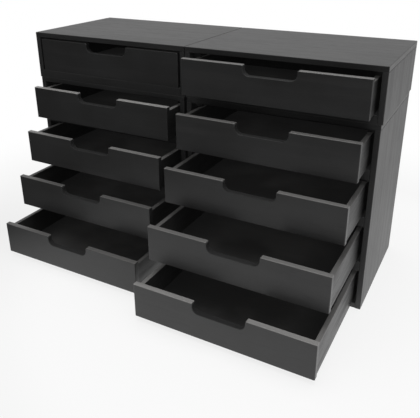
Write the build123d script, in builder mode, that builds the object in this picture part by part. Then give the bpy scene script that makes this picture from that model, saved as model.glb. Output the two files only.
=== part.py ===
"""Craft stamp storage drawers: two columns side by side, ten shallow drawers.

Each column is a one-drawer case stacked on a four-drawer case. The drawers are
shown pulled out by different amounts, and that is the pose modelled here.
The origin is on the ground at the centre of the whole outline: +X right,
+Y towards the back, +Z up.
"""
from build123d import *
import os

# ---------------------------------------------------------------- driving sizes
upper_width = 350.0        # one-drawer case, outside
lower_width = 346.0        # four-drawer case, a little narrower than the one above
unit_depth = 241.0
column_gap = 1.2           # between the two columns as they stand
case_board = 9.5           # tops, sides and bottoms of the cases
back_thickness = 3.0
panel_thickness = 5.0      # shelf panels between the drawers
rail_depth = 16.0          # front rails, front to back
upper_rail_height = 14.5
drawer_pitch = 85.0        # drawer to drawer in the lower case

front_widths = {"upper": 322.0, "lower": 318.0}
front_height = 63.5
front_thickness = 10.0
wall_thickness = 8.0
wall_height = 56.0
wall_inset = 1.5           # box sides stand in from the ends of the front
floor_thickness = 3.0
floor_lift = 6.0           # underside of the drawer floor above the box edge
drawer_depth = 237.5       # front face to back of the box, which stops on the back panel

cut_width = 92.0           # finger cut-out in the top edge of the front
cut_depth = 17.5
cut_corner = 11.0
cut_lip = 3.0

reveal = 3.2               # gap above a drawer front
slide_gap = 0.3            # under a drawer
guide_gap = 0.8            # beside a drawer box
guide_setback = 30.0       # the guides start this far behind the case front
kicker_gap = 1.0           # over a drawer box
joint_gap = 0.1            # glue line between pieces that are housed in each other

edge_round = 1.0           # eased edges of boards
fine_round = 0.4           # rails and undersides of fronts, which nearly touch
front_round = 1.4          # eased top and ends of the drawer fronts
wall_round = 1.0
groove_depth = 3.0         # housings in the case sides
floor_groove = 4.0         # grooves for the drawer floor
rabbet_width = 4.5         # shoulder that holds the back panel
guide_height = 22.0

dowel_radius = 2.5
dowel_length = 20.0
dowel_in_board = 6.0       # how far a dowel enters the board that it is square to
dowel_clearance = 0.05
dowel_end_gap = 0.5

brad_radius = 0.6
brad_head_radius = 1.6
brad_head_thickness = 0.6
brad_length = 12.0
brad_clearance = 0.05
brad_inset = 2.2           # from the inner face of a case side, on the shoulder

# how far each front stands out from its case, top drawer first
left_pulls = (0.0, 37.0, 70.0, 106.0, 158.0)
right_pulls = (36.0, 62.0, 104.0, 161.0, 209.0)

# ---------------------------------------------------------------- worked out
rail_height = drawer_pitch - front_height - reveal - slide_gap
lower_height = 2 * case_board + slide_gap + 3 * drawer_pitch + front_height + reveal
upper_height = upper_rail_height + slide_gap + front_height + reveal + case_board
total_height = lower_height + upper_height

case_front = (max(left_pulls + right_pulls) - unit_depth) / 2
case_back = case_front + unit_depth
panel_face = case_back - back_thickness

case_widths = {"upper": upper_width, "lower": lower_width}
columns = {"left": -1, "right": 1}
pulls = {"left": left_pulls, "right": right_pulls}

lower_bottoms = [case_board + slide_gap + (3 - row) * drawer_pitch for row in range(4)]
drawer_bottoms = [lower_height + upper_rail_height + slide_gap] + lower_bottoms
shelf_tops = [bottom - slide_gap for bottom in drawer_bottoms[:4]]

quarter_points = (case_front + unit_depth / 4, case_back - unit_depth / 4)


def column_centre(column):
    """X of the middle of a column."""
    return columns[column] * (upper_width + column_gap) / 2


def case_of(row):
    """The case that a drawer is in, by its row from the top."""
    return "upper" if row == 0 else "lower"


def box_width(row):
    """Outside width of a drawer's box, behind its front."""
    return front_widths[case_of(row)] - 2 * wall_inset


def box_inner(row):
    """Width between the side walls of a drawer."""
    return box_width(row) - 2 * wall_thickness


def save(piece, name):
    """Labels a finished piece and writes it under its own name."""
    piece.part.label = name
    export_step(piece.part, f"parts/{name}.step")


def cut_box(x_range, y_range, z_range):
    """Takes a box-shaped pocket out of the part being built."""
    middle = [(low + high) / 2 for low, high in (x_range, y_range, z_range)]
    size = [high - low for low, high in (x_range, y_range, z_range)]
    with Locations(tuple(middle)):
        Box(*size, mode=Mode.SUBTRACT)


def add_box(x_range, y_range, z_range):
    """Adds a square-edged strip, drawn on its lowest plane and extruded up."""
    with BuildSketch(Plane.XY.offset(z_range[0])) as outline:
        with Locations(((x_range[0] + x_range[1]) / 2, (y_range[0] + y_range[1]) / 2)):
            Rectangle(x_range[1] - x_range[0], y_range[1] - y_range[0])
    extrude(outline.sketch, amount=z_range[1] - z_range[0])


# ---------------------------------------------------------------- dowel places
def upright_dowels(centre_x, width, top_z):
    """Lower ends of the dowels that join a top board to its two sides."""
    reach = width / 2 - case_board / 2
    low_z = top_z - case_board + dowel_in_board - dowel_length
    return [(centre_x + end * reach, y, low_z) for end in (-1, 1) for y in quarter_points]


def level_dowels(centre_x, width, z, y_places):
    """Centres of the dowels that run sideways into the two sides, with their side."""
    reach = width / 2 - case_board + dowel_in_board - dowel_length / 2
    return [(end, (centre_x + end * reach, y, z)) for end in (-1, 1) for y in y_places]


def rail_centres(shelf_top_list, height):
    """Heights of the middles of the front rails under the given shelves."""
    return [top - height / 2 for top in shelf_top_list]


rail_y = (case_front + rail_depth / 2,)
lower_rail_mids = rail_centres(shelf_tops[1:], rail_height)
upper_rail_mid = rail_centres(shelf_tops[:1], upper_rail_height)[0]


def case_level_dowels(centre_x, case):
    """Every sideways dowel of one case: its rails and, below, its bottom board."""
    if case == "upper":
        return level_dowels(centre_x, upper_width, upper_rail_mid, rail_y)
    places = level_dowels(centre_x, lower_width, case_board / 2, quarter_points)
    for mid in lower_rail_mids:
        places += level_dowels(centre_x, lower_width, mid, rail_y)
    return places


def dowel_hole(centre, rotation, length):
    """A blind hole for a dowel, a little wider than the dowel."""
    with Locations(Location(centre, rotation)):
        Cylinder(dowel_radius + dowel_clearance, length, mode=Mode.SUBTRACT)


# ---------------------------------------------------------------- brad places
def brad_places(centre_x, width, low_z, high_z, rows):
    """Points on the back face where brads hold the back panel to the two sides."""
    reach = width / 2 - case_board + brad_inset
    step = (high_z - low_z) / rows
    heights = [low_z + step * (row + 0.5) for row in range(rows)]
    return [(centre_x + end * reach, case_back, z) for end in (-1, 1) for z in heights]


upper_brad_rows = 2
lower_brad_rows = 5


def case_brads(centre_x, case):
    """Brad places of one case."""
    if case == "upper":
        span = (lower_height, total_height - case_board)
        return brad_places(centre_x, upper_width, *span, upper_brad_rows)
    return brad_places(centre_x, lower_width, 0.0, lower_height - case_board, lower_brad_rows)


along_y = (90, 0, 0)
along_x = (0, 90, 0)
upright = (0, 0, 0)


# ---------------------------------------------------------------- case pieces
def build_top_board(name, centre_x, width, top_z):
    """A case top: it laps over both sides, with every edge eased."""
    with BuildPart() as top_board:
        with BuildSketch(Plane.XY.offset(top_z - case_board)):
            with Locations((centre_x, case_front + unit_depth / 2)):
                Rectangle(width, unit_depth)
        extrude(amount=case_board)
        fillet(top_board.edges(), edge_round)
        hole_depth = dowel_in_board + dowel_end_gap
        for x, y, low_z in upright_dowels(centre_x, width, top_z):
            dowel_hole((x, y, top_z - case_board + hole_depth / 2), upright, hole_depth)
    save(top_board, name)


def build_side_board(name, centre_x, width, end, z_range, case):
    """A case side: grooves for the shelves, a rabbet for the back, dowel and brad holes.

    end is -1 for the left side of a case and 1 for the right side.
    """
    outer = centre_x + end * width / 2
    inner = outer - end * case_board
    grooves = shelf_tops[:1] if case == "upper" else shelf_tops[1:]
    groove_face = inner + end * groove_depth
    rabbet_face = inner + end * rabbet_width
    with BuildPart() as side_board:
        with BuildSketch(Plane.XY.offset(z_range[0])):
            with Locations(((outer + inner) / 2, case_front + unit_depth / 2)):
                Rectangle(case_board, unit_depth)
        extrude(amount=z_range[1] - z_range[0])
        fillet(side_board.edges().filter_by(Axis.Z), edge_round)
        for top in grooves:
            cut_box(
                sorted((inner - end, groove_face)),
                (case_front + rail_depth, panel_face),
                (top - panel_thickness - joint_gap, top + joint_gap),
            )
        cut_box(sorted((inner - end, rabbet_face)), (panel_face, case_back + 1), z_range)
        end_hole = dowel_length - dowel_in_board + dowel_end_gap
        for x, y, low_z in upright_dowels(centre_x, width, z_range[1] + case_board):
            if (x - centre_x) * end > 0:
                dowel_hole((x, y, z_range[1] - end_hole / 2), upright, end_hole)
        face_hole = dowel_in_board + dowel_end_gap
        for hole_end, (x, y, z) in case_level_dowels(centre_x, case):
            if hole_end == end:
                dowel_hole((inner + end * face_hole / 2, y, z), along_x, face_hole)
        for x, y, z in case_brads(centre_x, case):
            if (x - centre_x) * end > 0:
                depth = brad_length - back_thickness + dowel_end_gap
                with Locations(Location((x, panel_face - depth / 2, z), along_y)):
                    Cylinder(brad_radius + brad_clearance, depth, mode=Mode.SUBTRACT)
    save(side_board, name)


def build_back_panel(name, centre_x, width, z_range, case):
    """A thin panel set into the rabbets, with a sunk seat for each brad head."""
    half = width / 2 - case_board + rabbet_width - joint_gap
    with BuildPart() as back_panel:
        add_box((centre_x - half, centre_x + half), (panel_face, case_back), z_range)
        for x, y, z in case_brads(centre_x, case):
            with Locations(Location((x, panel_face + back_thickness / 2, z), along_y)):
                Cylinder(brad_radius + brad_clearance, back_thickness, mode=Mode.SUBTRACT)
            seat = brad_head_thickness
            with Locations(Location((x, case_back - seat / 2, z), along_y)):
                Cylinder(brad_head_radius + brad_clearance, seat, mode=Mode.SUBTRACT)
    save(back_panel, name)


def build_bottom_board(name, centre_x):
    """The bottom of a four-drawer case, between its sides."""
    half = lower_width / 2 - case_board
    with BuildPart() as bottom_board:
        add_box((centre_x - half, centre_x + half), (case_front, panel_face), (0.0, case_board))
        fillet(bottom_board.edges().filter_by(Axis.X).group_by(Axis.Y)[0], edge_round)
        hole_depth = dowel_length - dowel_in_board + dowel_end_gap
        for end, (x, y, z) in level_dowels(centre_x, lower_width, case_board / 2, quarter_points):
            hole_x = centre_x + end * (half - hole_depth / 2)
            dowel_hole((hole_x, y, z), along_x, hole_depth)
    save(bottom_board, name)


def build_front_rails(name, centre_x, width, mids, height):
    """Rails across the front of a case, one under each shelf, flush with its front."""
    half = width / 2 - case_board
    hole_depth = dowel_length - dowel_in_board + dowel_end_gap
    with BuildPart() as front_rails:
        for mid in mids:
            add_box(
                (centre_x - half, centre_x + half),
                (case_front, case_front + rail_depth),
                (mid - height / 2, mid + height / 2),
            )
        front_edges = front_rails.edges().filter_by(Axis.X).group_by(Axis.Y)[0]
        fillet(front_edges, fine_round)
        for mid in mids:
            for end, (x, y, z) in level_dowels(centre_x, width, mid, rail_y):
                dowel_hole((centre_x + end * (half - hole_depth / 2), y, z), along_x, hole_depth)
    save(front_rails, name)


def build_shelf_panels(name, centre_x):
    """Thin shelves that the drawers slide on, housed in the case sides."""
    with BuildPart() as shelf_panels:
        for row, top in enumerate(shelf_tops):
            half = case_widths[case_of(row)] / 2 - case_board + groove_depth - joint_gap
            add_box(
                (centre_x - half, centre_x + half),
                (case_front + rail_depth, panel_face - joint_gap),
                (top - panel_thickness, top),
            )
    save(shelf_panels, name)


def strip_span(centre_x, row, end, reach):
    """X range of a strip on the inner face of a case side, reaching inwards."""
    inner = centre_x + end * (case_widths[case_of(row)] / 2 - case_board)
    return sorted((inner, inner - end * reach))


def side_space(row):
    """Space between a case side and the drawer box beside it."""
    return case_widths[case_of(row)] / 2 - case_board - box_width(row) / 2


def build_side_guides(name, centre_x):
    """Low strips beside each drawer box, well inside the case, that keep it straight."""
    y_range = (case_front + guide_setback, panel_face - joint_gap)
    with BuildPart() as side_guides:
        for row, bottom in enumerate(drawer_bottoms):
            base = bottom - slide_gap
            for end in (-1, 1):
                x_range = strip_span(centre_x, row, end, side_space(row) - guide_gap)
                add_box(x_range, y_range, (base, base + guide_height))
    save(side_guides, name)


def build_kickers(name, centre_x):
    """Strips over the box sides, which keep a pulled-out drawer from tipping down."""
    ceilings = [total_height - case_board, lower_height - case_board]
    ceilings += [top - panel_thickness for top in shelf_tops[1:]]
    y_range = (case_front + rail_depth, panel_face - joint_gap)
    with BuildPart() as kickers:
        for row, bottom in enumerate(drawer_bottoms):
            base = bottom + wall_height + kicker_gap
            for end in (-1, 1):
                reach = side_space(row) + wall_thickness - joint_gap
                add_box(strip_span(centre_x, row, end, reach), y_range, (base, ceilings[row]))
    save(kickers, name)


# ---------------------------------------------------------------- fasteners
def build_dowels(name):
    """All the round dowels of the four cases."""
    with BuildPart() as dowels:
        for column in columns:
            centre_x = column_centre(column)
            tops = ((upper_width, total_height), (lower_width, lower_height))
            for width, top_z in tops:
                for x, y, low_z in upright_dowels(centre_x, width, top_z):
                    with Locations((x, y, low_z + dowel_length / 2)):
                        Cylinder(dowel_radius, dowel_length)
            for case in ("upper", "lower"):
                for end, centre in case_level_dowels(centre_x, case):
                    with Locations(Location(centre, along_x)):
                        Cylinder(dowel_radius, dowel_length)
    save(dowels, name)


def build_brads(name):
    """All the flat-headed brads that hold the back panels, heads flush with the back."""
    shank = brad_length - brad_head_thickness
    with BuildPart() as brads:
        for column in columns:
            for case in ("upper", "lower"):
                for x, y, z in case_brads(column_centre(column), case):
                    head_y = y - brad_head_thickness / 2
                    with Locations(Location((x, head_y, z), along_y)):
                        Cylinder(brad_head_radius, brad_head_thickness)
                    shank_y = y - brad_head_thickness - shank / 2
                    with Locations(Location((x, shank_y, z), along_y)):
                        Cylinder(brad_radius, shank)
    save(brads, name)


# ---------------------------------------------------------------- drawer pieces
def build_drawer_front(name, centre_x, face_y, row):
    """A drawer front with a finger cut-out in the middle of its top edge."""
    bottom_z = drawer_bottoms[row]
    with BuildPart() as drawer_front:
        with BuildSketch(Plane.XZ.offset(-face_y)) as outline:
            with Locations((centre_x, bottom_z + front_height / 2)):
                Rectangle(front_widths[case_of(row)], front_height)
            with Locations((centre_x, bottom_z + front_height)):
                Rectangle(cut_width, 2 * cut_depth, mode=Mode.SUBTRACT)
            fillet(outline.vertices().group_by(Axis.Y)[1], cut_corner)
            fillet(outline.vertices().group_by(Axis.Y)[-1].sort_by(Axis.X)[1:3], cut_lip)
        extrude(amount=-front_thickness)
        shown_edges = drawer_front.faces().sort_by(Axis.Y)[0].edges()
        fillet(shown_edges.sort_by(Axis.Z)[1:], front_round)
        hidden_edges = drawer_front.faces().sort_by(Axis.Y)[-1].edges()
        fillet(hidden_edges.sort_by(Axis.Z)[1:], edge_round)
        underside = drawer_front.faces().sort_by(Axis.Z)[0]
        fillet(underside.edges().filter_by(Axis.X), fine_round)
        back_y = face_y + front_thickness
        half = box_inner(row) / 2 + floor_groove
        cut_box(
            (centre_x - half, centre_x + half),
            (back_y - floor_groove, back_y + 1),
            (bottom_z + floor_lift - joint_gap, bottom_z + floor_lift + floor_thickness + joint_gap),
        )
    save(drawer_front, name)


def build_drawer_walls(name, centre_x, face_y, row):
    """Two side walls and the back wall between them, grooved inside for the floor."""
    bottom_z = drawer_bottoms[row]
    inner = box_inner(row) / 2
    start_y = face_y + front_thickness
    end_y = face_y + drawer_depth
    z_range = (bottom_z, bottom_z + wall_height)
    groove_z = (
        bottom_z + floor_lift - joint_gap,
        bottom_z + floor_lift + floor_thickness + joint_gap,
    )
    back_half = inner - joint_gap
    with BuildPart() as drawer_walls:
        for end in (-1, 1):
            x_range = sorted((centre_x + end * inner, centre_x + end * box_width(row) / 2))
            add_box(x_range, (start_y, end_y), z_range)
        add_box(
            (centre_x - back_half, centre_x + back_half),
            (end_y - wall_thickness, end_y),
            z_range,
        )
        top_edges = drawer_walls.edges().group_by(Axis.Z)[-1]
        fillet(top_edges.filter_by(Axis.Y), wall_round)
        back_edges = drawer_walls.edges().filter_by(Axis.X).group_by(Axis.Z)[-1]
        fillet(back_edges.filter_by(lambda edge: edge.length > inner), wall_round)
        half = inner + floor_groove
        cut_box(
            (centre_x - half, centre_x + half),
            (start_y - 1, end_y - wall_thickness + floor_groove),
            groove_z,
        )
    save(drawer_walls, name)


def build_drawer_floor(name, centre_x, face_y, row):
    """The thin floor, held in the grooves of the front and the walls."""
    half = box_inner(row) / 2 + floor_groove - joint_gap
    start_y = face_y + front_thickness - floor_groove + joint_gap
    end_y = face_y + drawer_depth - wall_thickness + floor_groove - joint_gap
    low_z = drawer_bottoms[row] + floor_lift
    with BuildPart() as drawer_floor:
        add_box(
            (centre_x - half, centre_x + half),
            (start_y, end_y),
            (low_z, low_z + floor_thickness),
        )
    save(drawer_floor, name)


# ---------------------------------------------------------------- everything
def build_column_cases(column):
    """The two stacked cases of a column, without their drawers."""
    centre_x = column_centre(column)
    upper_span = (lower_height, total_height - case_board)
    lower_span = (0.0, lower_height - case_board)
    build_top_board(f"{column}_upper_top_board", centre_x, upper_width, total_height)
    build_top_board(f"{column}_lower_top_board", centre_x, lower_width, lower_height)
    for side_name, end in (("left_side", -1), ("right_side", 1)):
        upper_name = f"{column}_upper_{side_name}"
        build_side_board(upper_name, centre_x, upper_width, end, upper_span, "upper")
        lower_name = f"{column}_lower_{side_name}"
        build_side_board(lower_name, centre_x, lower_width, end, lower_span, "lower")
    build_back_panel(f"{column}_upper_back_panel", centre_x, upper_width, upper_span, "upper")
    build_back_panel(f"{column}_lower_back_panel", centre_x, lower_width, lower_span, "lower")
    build_bottom_board(f"{column}_lower_bottom_board", centre_x)
    upper_mids = [upper_rail_mid]
    build_front_rails(
        f"{column}_upper_front_rail", centre_x, upper_width, upper_mids, upper_rail_height
    )
    build_front_rails(
        f"{column}_lower_front_rails", centre_x, lower_width, lower_rail_mids, rail_height
    )
    build_shelf_panels(f"{column}_shelf_panels", centre_x)
    build_side_guides(f"{column}_side_guides", centre_x)
    build_kickers(f"{column}_kickers", centre_x)


def build_column_drawers(column):
    """The five drawers of a column, numbered from the top."""
    centre_x = column_centre(column)
    for row, pull in enumerate(pulls[column]):
        stem = f"{column}_drawer_{row + 1}"
        face_y = case_front - pull
        build_drawer_front(f"{stem}_front", centre_x, face_y, row)
        build_drawer_walls(f"{stem}_walls", centre_x, face_y, row)
        build_drawer_floor(f"{stem}_floor", centre_x, face_y, row)


os.makedirs("parts", exist_ok=True)
for column_name in columns:
    build_column_cases(column_name)
    build_column_drawers(column_name)
build_dowels("case_dowels")
build_brads("back_brads")
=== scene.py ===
"""Craft stamp storage drawers: materials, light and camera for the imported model."""
import math
import bpy
from mathutils import Matrix, Vector


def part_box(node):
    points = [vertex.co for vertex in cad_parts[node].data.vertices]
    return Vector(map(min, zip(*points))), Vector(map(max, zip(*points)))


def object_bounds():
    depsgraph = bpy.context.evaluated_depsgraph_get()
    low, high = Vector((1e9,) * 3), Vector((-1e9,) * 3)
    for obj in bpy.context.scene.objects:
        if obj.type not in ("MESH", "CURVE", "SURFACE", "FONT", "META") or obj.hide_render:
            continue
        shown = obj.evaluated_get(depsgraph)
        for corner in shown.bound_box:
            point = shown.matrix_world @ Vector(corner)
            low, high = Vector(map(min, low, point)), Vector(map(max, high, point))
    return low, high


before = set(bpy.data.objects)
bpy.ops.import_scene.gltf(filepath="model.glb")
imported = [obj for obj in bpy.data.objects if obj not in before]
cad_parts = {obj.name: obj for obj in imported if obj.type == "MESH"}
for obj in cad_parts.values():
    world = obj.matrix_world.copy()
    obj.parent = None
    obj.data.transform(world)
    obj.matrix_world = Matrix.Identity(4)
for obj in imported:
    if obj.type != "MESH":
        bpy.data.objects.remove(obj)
cad_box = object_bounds()

ALONG_X, ALONG_Y, ALONG_Z = range(3)

# ---------------------------------------------------------------- finish
# where marks lie on a piece, in metres
edge_reach = 0.0018          # wear fades out this far in from a board's edges
rubbed_depth = 0.0013        # a polished top edge, partly worn paint and partly a painted highlight, starts this far below the top
rubbed_full = 0.0004         # and has its full tone from here up
cut_half_width = 0.05        # a finger cut-out's sawn faces lie this near the front's middle
cut_side_fade = 0.006
cut_height = 0.03            # above this height on the front
cut_height_fade = 0.004
cut_rim = 0.002              # and below its top edge, which hands rub
cut_rim_fade = 0.002
floor_reflection_reach = 0.09           # a drawer floor's painted reflection fades out towards its sides
bump_depth = 0.0002

# noise features per metre
fibre_scale = 620.0
band_scale = 70.0
cloud_scale = 9.0
peel_scale = 900.0
dust_scale = 2600.0
grain_stretch = 0.06         # fibres and bands vary this much more slowly along the grain

# tones of the marks, against the paint's own tone
dark_cloud_tone = 0.86
light_cloud_tone = 1.16
band_tone = 2.0
pore_tone = 0.45
worn_tone = 2.9
# a painted reflection in the middle of drawer floors
scuffed_tone = 2.6
sawn_tone = 0.2
dust_grey = 0.12             # dust has its own grey on every piece

looks = (
    # part of the node's name (the first that fits counts), grain, tone, roughness, streak,
    # tone of a polished top edge, partly worn paint and partly a painted highlight
    ("side_guides", ALONG_Y, 0.028, 0.50, 0.5, 0.0),
    ("kickers", ALONG_Y, 0.028, 0.50, 0.5, 0.0),
    ("shelf_panels", ALONG_X, 0.028, 0.50, 0.5, 0.0),
    ("top_board", ALONG_X, 0.028, 0.38, 0.35, 0.0),
    ("left_side", ALONG_Z, 0.029, 0.42, 0.5, 0.0),
    ("right_side", ALONG_Z, 0.029, 0.42, 0.5, 0.0),
    ("bottom_board", ALONG_X, 0.030, 0.45, 0.5, 0.0),
    ("back_panel", ALONG_Z, 0.029, 0.48, 0.6, 0.0),
    ("front_rail", ALONG_X, 0.029, 0.43, 0.5, 0.0),
    ("_front", ALONG_X, 0.031, 0.34, 0.5, 0.2),
    ("_walls", ALONG_Y, 0.027, 0.40, 1.5, 0.13),
    ("_floor", ALONG_X, 0.021, 0.38, 0.5, 0.0),
)

# how light each drawer's top edges are against the usual, top drawer first: partly wear and partly a
# painted highlight, least on the shut top left drawer, which the top board shades
edge_wear_and_highlight = {"left": (0.12, 1.6, 1.05, 0.55, 0.55), "right": (0.9, 0.7, 0.75, 0.8, 1.3)}

# ---------------------------------------------------------------- node helpers


class Graph:
    """Short calls for building one material's or world's node graph."""

    def __init__(self, tree):
        self.tree = tree
        tree.nodes.clear()

    def node(self, kind, **settings):
        made = self.tree.nodes.new(kind)
        for key, value in settings.items():
            setattr(made, key, value)
        return made

    def link(self, source, target):
        self.tree.links.new(source, target)

    def feed(self, socket, value):
        """Sets a socket to a number or colour, or links it to another socket."""
        if isinstance(value, bpy.types.NodeSocket):
            self.link(value, socket)
        else:
            socket.default_value = value

    def coordinates(self, kind):
        return self.node("ShaderNodeTexCoord").outputs[kind]

    def split(self, vector):
        """The X, Y and Z of a vector."""
        made = self.node("ShaderNodeSeparateXYZ")
        self.link(vector, made.inputs[0])
        return made.outputs

    def distance(self, vector, point):
        made = self.node("ShaderNodeVectorMath", operation="DISTANCE")
        self.link(vector, made.inputs[0])
        made.inputs[1].default_value = point
        return made.outputs["Value"]

    def math(self, operation, a, b=0.0, clamp=False):
        made = self.node("ShaderNodeMath", operation=operation, use_clamp=clamp)
        self.feed(made.inputs[0], a)
        self.feed(made.inputs[1], b)
        return made.outputs[0]

    def plus(self, a, b, clamp=False):
        return self.math("ADD", a, b, clamp)

    def minus(self, a, b, clamp=False):
        return self.math("SUBTRACT", a, b, clamp)

    def times(self, a, b):
        return self.math("MULTIPLY", a, b)

    def ramp(self, value, low, high, out_low=0.0, out_high=1.0):
        """A smooth step from out_low at low to out_high at high."""
        made = self.node("ShaderNodeMapRange", interpolation_type="SMOOTHSTEP")
        for socket, number in zip(made.inputs[:5], (value, low, high, out_low, out_high)):
            self.feed(socket, number)
        return made.outputs[0]

    def mix(self, factor, a, b):
        made = self.node("ShaderNodeMix", data_type="RGBA")
        self.feed(made.inputs[0], factor)
        self.feed(made.inputs[6], a)
        self.feed(made.inputs[7], b)
        return made.outputs[2]

    def noise(self, place, scale, stretch=(1, 1, 1), detail=3.0, roughness=0.55, shift=(0, 0, 0)):
        mapping = self.node("ShaderNodeMapping")
        self.link(place, mapping.inputs[0])
        mapping.inputs["Location"].default_value = shift
        mapping.inputs["Scale"].default_value = stretch
        made = self.node("ShaderNodeTexNoise")
        self.link(mapping.outputs[0], made.inputs["Vector"])
        made.inputs["Scale"].default_value = scale
        made.inputs["Detail"].default_value = detail
        made.inputs["Roughness"].default_value = roughness
        return made.outputs[0]

    def shader(self, colour, roughness):
        """A Principled shader, joined to the material's output."""
        made = self.node("ShaderNodeBsdfPrincipled")
        self.link(colour, made.inputs["Base Color"])
        self.link(roughness, made.inputs["Roughness"])
        self.link(made.outputs[0], self.node("ShaderNodeOutputMaterial").inputs[0])
        return made

    def blend_by_ray(self, camera_share, mirror_share, usual, shown):
        """Mixes shown into usual, by these shares, for rays from the camera and off gloss."""
        rays = self.node("ShaderNodeLightPath").outputs
        mirrored = self.plus(rays["Is Glossy Ray"], rays["Is Transmission Ray"], clamp=True)
        to_camera = self.times(rays["Is Camera Ray"], camera_share)
        to_mirror = self.times(mirrored, mirror_share)
        made = self.node("ShaderNodeMixShader")
        self.link(self.plus(to_camera, to_mirror, clamp=True), made.inputs[0])
        self.link(usual, made.inputs[1])
        self.link(shown, made.inputs[2])
        return made.outputs[0]


def new_material(name):
    """A material with an empty graph."""
    material = bpy.data.materials.new(name)
    material.use_nodes = True
    return material, Graph(material.node_tree)


def grey(value, warm=0.0):
    """A near-grey colour with a trace of warmth or cold."""
    return (value * (1 + warm), value, value * (1 - warm), 1.0)


# ---------------------------------------------------------------- marks on painted boards


def from_ends(graph, here, low, high):
    """Distance from the nearer of a box's two ends along one axis."""
    return graph.math("MINIMUM", graph.minus(here, low), graph.minus(high, here))


def edge_mask(graph, spot, low, high):
    """1 along the edges of a board's box and 0 over its faces."""
    total = 0.0
    for axis in range(3):
        inward = from_ends(graph, spot[axis], low[axis], high[axis])
        total = graph.plus(total, graph.ramp(inward, 0.0, edge_reach, 1.0, 0.0))
    return graph.minus(total, 1.0, clamp=True)


def sawn_mask(graph, spot, low, high):
    """1 on the sawn faces of a cut-out in the middle of a drawer front, 0 elsewhere."""
    facing = graph.split(graph.coordinates("Normal"))
    middle = (low[0] + high[0]) / 2
    across = graph.math("ABSOLUTE", graph.minus(spot[0], middle))
    near = graph.ramp(across, cut_half_width, cut_half_width + cut_side_fade, 1.0, 0.0)
    bottom = low[2] + cut_height
    rim = high[2] - cut_rim
    level = graph.times(graph.ramp(spot[2], bottom, bottom + cut_height_fade),
                        graph.ramp(spot[2], rim - cut_rim_fade, rim, 1.0, 0.0))
    turned = graph.ramp(graph.math("ABSOLUTE", facing[1]), 0.45, 0.85, 1.0, 0.0)
    return graph.times(turned, graph.times(near, level))


def middle_mask(graph, spot, low, high):
    """1 in the middle of a drawer floor, fading to 0 at its four sides."""
    fades = [graph.ramp(from_ends(graph, spot[axis], low[axis], high[axis]), 0.0, floor_reflection_reach)
             for axis in (0, 1)]
    return graph.times(*fades)


def paint_marks(graph, name, box, grain, seed, rubbed):
    """The masks and noises that a board's colour, gloss and bump share."""
    place = graph.coordinates("Object")
    spot = graph.split(place)
    low, high = box
    along = [1.0, 1.0, 1.0]
    along[grain] = grain_stretch
    shift = (seed * 1.7, seed * 0.9, seed * 2.3)
    marks = {
        "fibres": graph.noise(place, fibre_scale, along, 4.0, 0.62, shift),
        "bands": graph.noise(place, band_scale, along, 3.0, 0.5, shift),
        "cloud": graph.noise(place, cloud_scale, shift=shift),
        "peel": graph.noise(place, peel_scale, detail=2.0, roughness=0.5, shift=shift),
        "dust": graph.noise(place, dust_scale, detail=1.0, roughness=0.4, shift=shift),
        "edges": edge_mask(graph, spot, low, high),
    }
    # a thin top edge: worn paint with a painted highlight over it
    if rubbed:
        marks["rubbed"] = graph.ramp(spot[2], high[2] - rubbed_depth, high[2] - rubbed_full)
    # drawer floors get a pale middle, a painted reflection
    if name.endswith("_floor"):
        marks["scuffed"] = middle_mask(graph, spot, low, high)
    if name.endswith("_front"):
        marks["sawn"] = sawn_mask(graph, spot, low, high)
    return marks


def paint_colour(graph, marks, tone, streak, rubbed):
    """Clouds, bands along the grain, pores, worn edges and dust, then what some pieces add."""
    colour = graph.mix(graph.ramp(marks["cloud"], 0.3, 0.7),
                       grey(tone * dark_cloud_tone, 0.01), grey(tone * light_cloud_tone, -0.01))
    band = graph.times(graph.ramp(marks["bands"], 0.45, 0.75), 0.35 * streak)
    colour = graph.mix(band, colour, grey(tone * band_tone, 0.02))
    pore = graph.times(graph.ramp(marks["fibres"], 0.52, 0.7), 0.45 * streak)
    colour = graph.mix(pore, colour, grey(tone * pore_tone))
    worn = graph.times(marks["edges"], graph.ramp(marks["bands"], 0.35, 0.65))
    colour = graph.mix(graph.times(worn, 0.3), colour, grey(tone * worn_tone, 0.03))
    speck = graph.times(graph.ramp(marks["dust"], 0.69, 0.76), 0.2)
    colour = graph.mix(speck, colour, grey(dust_grey, 0.02))
    # lighter top edge: partly worn paint, partly a painted highlight
    if "rubbed" in marks:
        patchy = graph.times(marks["rubbed"], graph.ramp(marks["bands"], 0.2, 0.8, 0.7, 1.0))
        colour = graph.mix(patchy, colour, grey(rubbed, 0.02))
    # a pale patch in a drawer floor's middle, a painted reflection
    if "scuffed" in marks:
        patchy = graph.times(marks["scuffed"], graph.ramp(marks["cloud"], 0.38, 0.62, 0.3, 0.9))
        colour = graph.mix(patchy, colour, grey(tone * scuffed_tone, 0.02))
    # the cut-out's faces much darker than the paint
    if "sawn" in marks:
        colour = graph.mix(graph.times(marks["sawn"], 0.95), colour, grey(tone * sawn_tone))
    return colour


def paint_roughness(graph, marks, rough, streak):
    """Smoother in patches, duller in pores and bands, on edges and most on sawn faces."""
    total = graph.plus(rough - 0.05, graph.times(marks["cloud"], 0.1))
    total = graph.plus(total, graph.times(graph.ramp(marks["fibres"], 0.5, 0.72), 0.1))
    total = graph.plus(total, graph.times(graph.ramp(marks["bands"], 0.4, 0.65), 0.1 * streak))
    total = graph.plus(total, graph.times(marks["edges"], 0.04))
    if "sawn" in marks:
        total = graph.plus(total, graph.times(marks["sawn"], 0.55))
    return total


def paint_bump(graph, marks, streak):
    """Fibres and orange peel, with low bands along the grain."""
    height = graph.plus(graph.times(marks["fibres"], 0.6), graph.times(marks["peel"], 0.35))
    height = graph.plus(height, graph.times(marks["bands"], 0.6 * streak))
    bump = graph.node("ShaderNodeBump")
    bump.inputs["Strength"].default_value = 0.16
    bump.inputs["Distance"].default_value = bump_depth
    graph.link(height, bump.inputs["Height"])
    return bump.outputs[0]


# ---------------------------------------------------------------- materials


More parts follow.
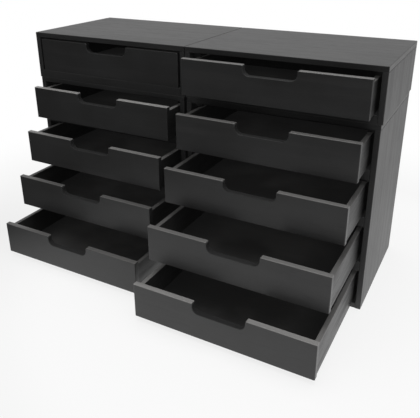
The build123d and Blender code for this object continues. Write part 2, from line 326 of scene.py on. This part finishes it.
def painted_board(name, box, grain, tone, seed, rough, streak, rubbed):
    """Satin black paint over a board whose grain runs along axis number grain.

    rubbed is the tone of its topmost face, a thin edge that hands and cards polish and that is
    lightened further as a painted highlight. A drawer front also has a sawn cut-out whose faces
    are darker and duller, and a drawer floor has a painted reflection, a pale patch in its middle.
    """
    material, graph = new_material(name)
    marks = paint_marks(graph, name, box, grain, seed, rubbed)
    shader = graph.shader(paint_colour(graph, marks, tone, streak, rubbed),
                          paint_roughness(graph, marks, rough, streak))
    graph.link(paint_bump(graph, marks, streak), shader.inputs["Normal"])
    shader.inputs["IOR"].default_value = 1.45
    shader.inputs["Specular IOR Level"].default_value = 0.58
    return material


def bare_wood(name):
    """Unpainted beech, for the dowels."""
    material, graph = new_material(name)
    fibres = graph.noise(graph.coordinates("Object"), 500.0, (0.2, 1.0, 1.0), 4.0)
    colour = graph.mix(graph.ramp(fibres, 0.35, 0.65), (0.52, 0.36, 0.2, 1), (0.68, 0.5, 0.31, 1))
    graph.shader(colour, graph.ramp(fibres, 0.2, 0.8, 0.55, 0.75))
    return material


def brad_metal(name):
    """Dull steel of small flat heads."""
    material, graph = new_material(name)
    grime = graph.noise(graph.coordinates("Object"), 900.0)
    colour = graph.mix(graph.ramp(grime, 0.35, 0.7), (0.42, 0.42, 0.43, 1), (0.24, 0.23, 0.22, 1))
    shader = graph.shader(colour, graph.ramp(grime, 0.3, 0.7, 0.3, 0.5))
    shader.inputs["Metallic"].default_value = 1.0
    return material


def dress(node, thing, number):
    """Gives one CAD piece its own material, with its own stretch of the noises."""
    if node == "case_dowels":
        made = bare_wood("beech_dowel")
    elif node == "back_brads":
        made = brad_metal("brad_steel")
    else:
        grain, tone, rough, streak, rubbed = next(look[1:] for look in looks if look[0] in node)
        seed = number * 0.37
        if "_drawer_" in node:
            column, _, row, _ = node.split("_")
            # each drawer's share of worn edge and painted highlight, least where the top board shades
            # the shut drawer
            rubbed *= edge_wear_and_highlight[column][int(row) - 1]
        made = painted_board(f"paint_{node}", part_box(node), grain, tone, seed, rough, streak, rubbed)
    if not thing.material_slots:
        thing.data.materials.append(made)
    for material_slot in thing.material_slots:
        material_slot.material = made


for number, (node, thing) in enumerate(sorted(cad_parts.items())):
    dress(node, thing, number)

# ---------------------------------------------------------------- floor and background


def floor_paint():
    """A white sheet that ends a little way in front of the drawers, where the room is dim.

    The camera sees it white all the way out, with the shadow kept near the cases.
    """
    material, graph = new_material("pale_floor")
    place = graph.coordinates("Object")
    behind = graph.ramp(graph.split(place)[1], -0.25, 0.1, 0.0, 0.72)
    around = graph.ramp(graph.distance(place, (0.2, 0.0, 0.0)), 0.42, 0.74, 1.0, 0.0)
    sheet = graph.math("MAXIMUM", behind, around)
    matt = graph.node("ShaderNodeBsdfDiffuse")
    graph.link(graph.mix(sheet, grey(0.14), grey(0.86)), matt.inputs["Color"])
    glow = graph.node("ShaderNodeEmission")
    glow.inputs["Color"].default_value = (1, 1, 1, 1)
    glow.inputs["Strength"].default_value = 1.0
    camera_share = graph.ramp(graph.distance(place, (0.0, 0.0, 0.0)), 0.5, 0.95, 0.8, 1.0)
    seen = graph.blend_by_ray(camera_share, graph.times(sheet, 0.9), matt.outputs[0], glow.outputs[0])
    graph.link(seen, graph.node("ShaderNodeOutputMaterial").inputs[0])
    return material


def pale_floor(radius, sides, drop):
    """A wide disc just under the cases."""
    turns = [math.tau * step / sides for step in range(sides)]
    rim = [(radius * math.cos(turn), radius * math.sin(turn), 0.0) for turn in turns]
    mesh = bpy.data.meshes.new("floor")
    mesh.from_pydata(rim, [], [tuple(range(sides))])
    mesh.materials.append(floor_paint())
    floor = bpy.data.objects.new("floor", mesh)
    bpy.context.scene.collection.objects.link(floor)
    floor.location = (0.0, 0.0, cad_box[0][2] - drop)


def background(graph, strength):
    """White world light of this strength."""
    made = graph.node("ShaderNodeBackground")
    made.inputs["Color"].default_value = (1, 1, 1, 1)
    graph.feed(made.inputs["Strength"], strength)
    return made.outputs[0]


def studio_world():
    """Soft light that grows towards the back, on a background that the camera sees white."""
    world = bpy.data.worlds.new("studio")
    bpy.context.scene.world = world
    world.use_nodes = True
    graph = Graph(world.node_tree)
    towards_back = graph.split(graph.coordinates("Generated"))[1]
    soft_light = background(graph, graph.ramp(towards_back, -0.75, 0.35, 0.1, 0.46))
    mirror_share = graph.ramp(towards_back, 0.1, 0.7, 0.0, 0.3)
    seen = graph.blend_by_ray(1.0, mirror_share, soft_light, background(graph, 1.0))
    graph.link(seen, graph.node("ShaderNodeOutputWorld").inputs[0])


pale_floor(radius=7.0, sides=96, drop=0.0002)
studio_world()

# ---------------------------------------------------------------- lamps


def facing(direction):
    """The turn that points a lamp along a direction."""
    return Vector(direction).to_track_quat("-Z", "Y").to_euler()


def lamp(name, kind, power, direction):
    """A lamp of this kind that shines along a direction."""
    light = bpy.data.lights.new(name, kind)
    light.energy = power
    thing = bpy.data.objects.new(name, light)
    bpy.context.scene.collection.objects.link(thing)
    thing.rotation_euler = facing(direction)
    return light, thing


def softbox(name, place, aim, width, height, power):
    """A large rectangular lamp turned to face a point."""
    light, thing = lamp(name, "AREA", power, Vector(aim) - Vector(place))
    light.shape = "RECTANGLE"
    light.size = width
    light.size_y = height
    thing.location = place
    thing.visible_camera = False


def shadowless_fill(name, power, direction, spread):
    """A weak even light, so that the insides of black drawers keep some drawing."""
    light, _ = lamp(name, "SUN", power, direction)
    light.angle = math.radians(spread)
    light.use_shadow = False


softbox("overhead", (0.1, -0.1, 1.8), (0.0, -0.2, 0.2), 1.8, 1.4, 14.0)
softbox("right_side", (2.0, -0.4, 0.9), (0.3, 0.0, 0.2), 1.4, 1.4, 5.0)
shadowless_fill("fill", 0.85, (-0.1, 0.25, -0.96), 80)

# ---------------------------------------------------------------- camera


def photo_camera():
    """The photo's viewpoint, to the right of the front and above it."""
    azimuth, elevation, roll = (math.radians(angle) for angle in (28.50, 22.01, -0.32))
    target = Vector((0.0415, 0.0, 0.2230))
    distance = 1.0327
    focal_pixels = 550.0
    image_width = 420.0
    forward = Vector((-math.sin(azimuth) * math.cos(elevation),
                      math.cos(azimuth) * math.cos(elevation), -math.sin(elevation)))
    level = Vector((math.cos(azimuth), math.sin(azimuth), 0.0))
    upward = level.cross(forward)
    right = math.cos(roll) * level + math.sin(roll) * upward
    top = -math.sin(roll) * level + math.cos(roll) * upward
    optics = bpy.data.cameras.new("camera")
    optics.sensor_width = 36.0
    optics.lens = optics.sensor_width * focal_pixels / image_width
    optics.shift_y = -0.12
    optics.clip_start = 0.01
    optics.clip_end = 50.0
    camera = bpy.data.objects.new("camera", optics)
    bpy.context.scene.collection.objects.link(camera)
    turned = Matrix((right, top, -forward)).transposed().to_4x4()
    camera.matrix_world = Matrix.Translation(target - forward * distance) @ turned
    bpy.context.scene.camera = camera


photo_camera()
bpy.context.scene.view_settings.view_transform = "Standard"
